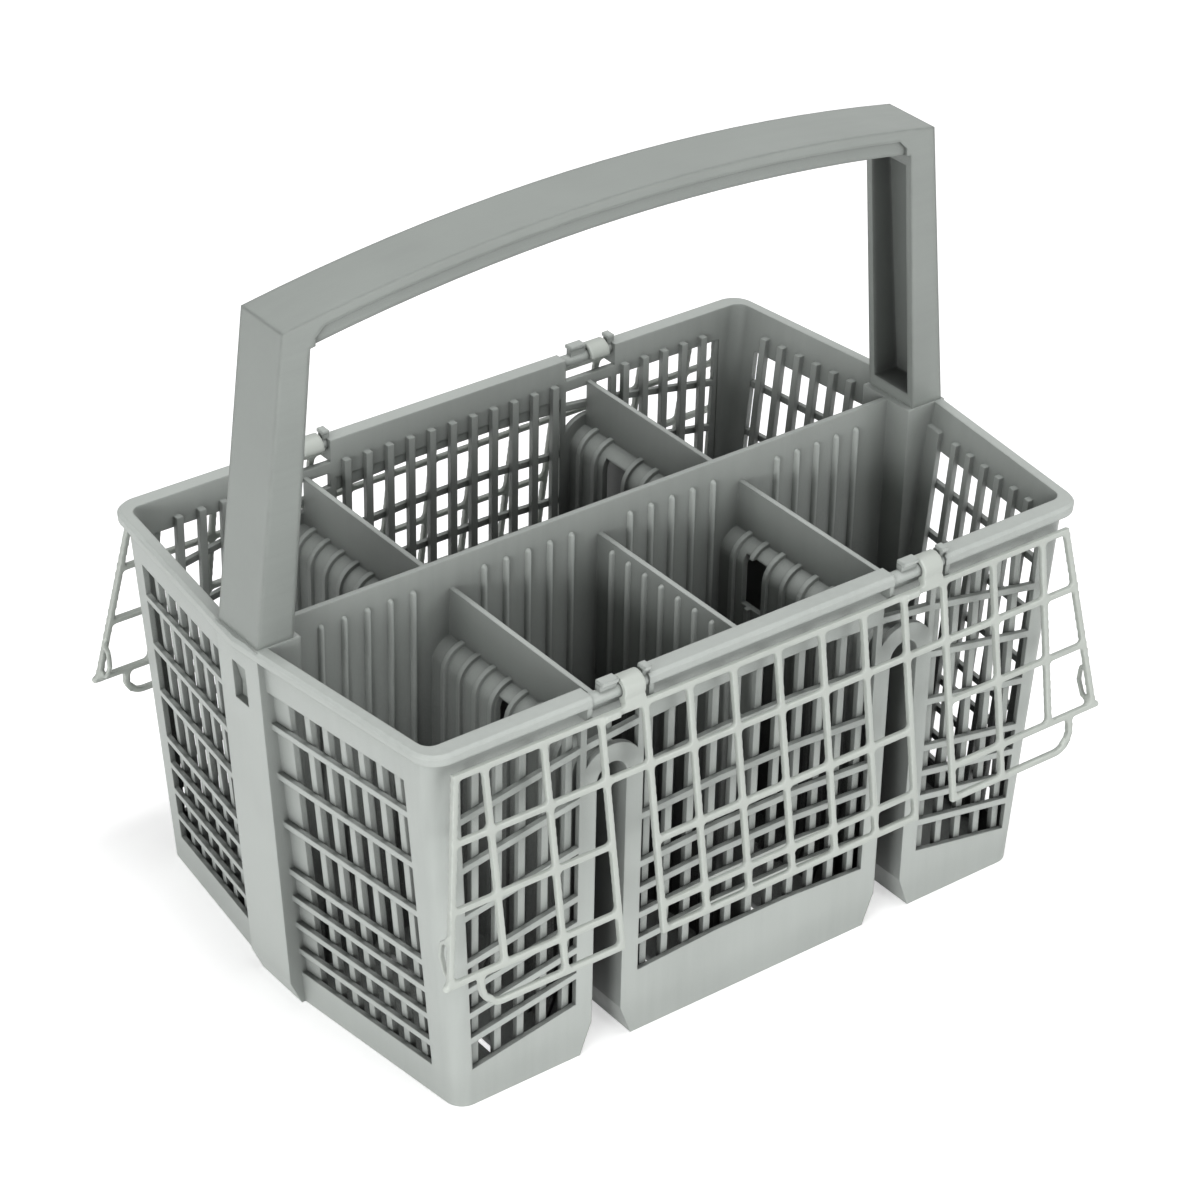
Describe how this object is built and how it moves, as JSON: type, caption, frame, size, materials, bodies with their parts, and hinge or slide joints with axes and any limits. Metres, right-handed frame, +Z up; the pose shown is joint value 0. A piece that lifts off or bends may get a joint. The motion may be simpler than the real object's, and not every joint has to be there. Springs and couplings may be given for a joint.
{
  "type": "dishwasher cutlery basket",
  "caption": "Grey moulded cutlery basket with grid walls, dividers, rack tunnels, an arched carrying handle and mesh lids hinged along both long rims.",
  "frame": {"origin": "middle of the footprint, on the table", "axes": "+X along the basket, +Y to its rear long side, +Z up to the grip"},
  "size_m": [0.2392, 0.1808, 0.2175],
  "materials": {
    "basket": "satin moulded polypropylene, warm mid grey",
    "handle": "fine satin moulded polypropylene, warm mid grey",
    "lid": "satin moulded polypropylene, warm mid grey"
  },
  "bodies": {
    "basket": {"basket_body": "basket", "handle": "handle"},
    "front_cover": {"front_lid": "lid"},
    "rear_cover": {"rear_lid": "lid"}
  },
  "joints": [
    {"name": "front_lid_hinge", "type": "hinge", "parent": "basket", "child": "front_cover", "pos_m": [0, -0.0747, 0.1168], "axis": [-1, 0, 0], "range_deg": [0, 260]},
    {"name": "rear_lid_hinge", "type": "hinge", "parent": "basket", "child": "rear_cover", "pos_m": [0, 0.0747, 0.1168], "axis": [1, 0, 0], "range_deg": [0, 260]}
  ]
}
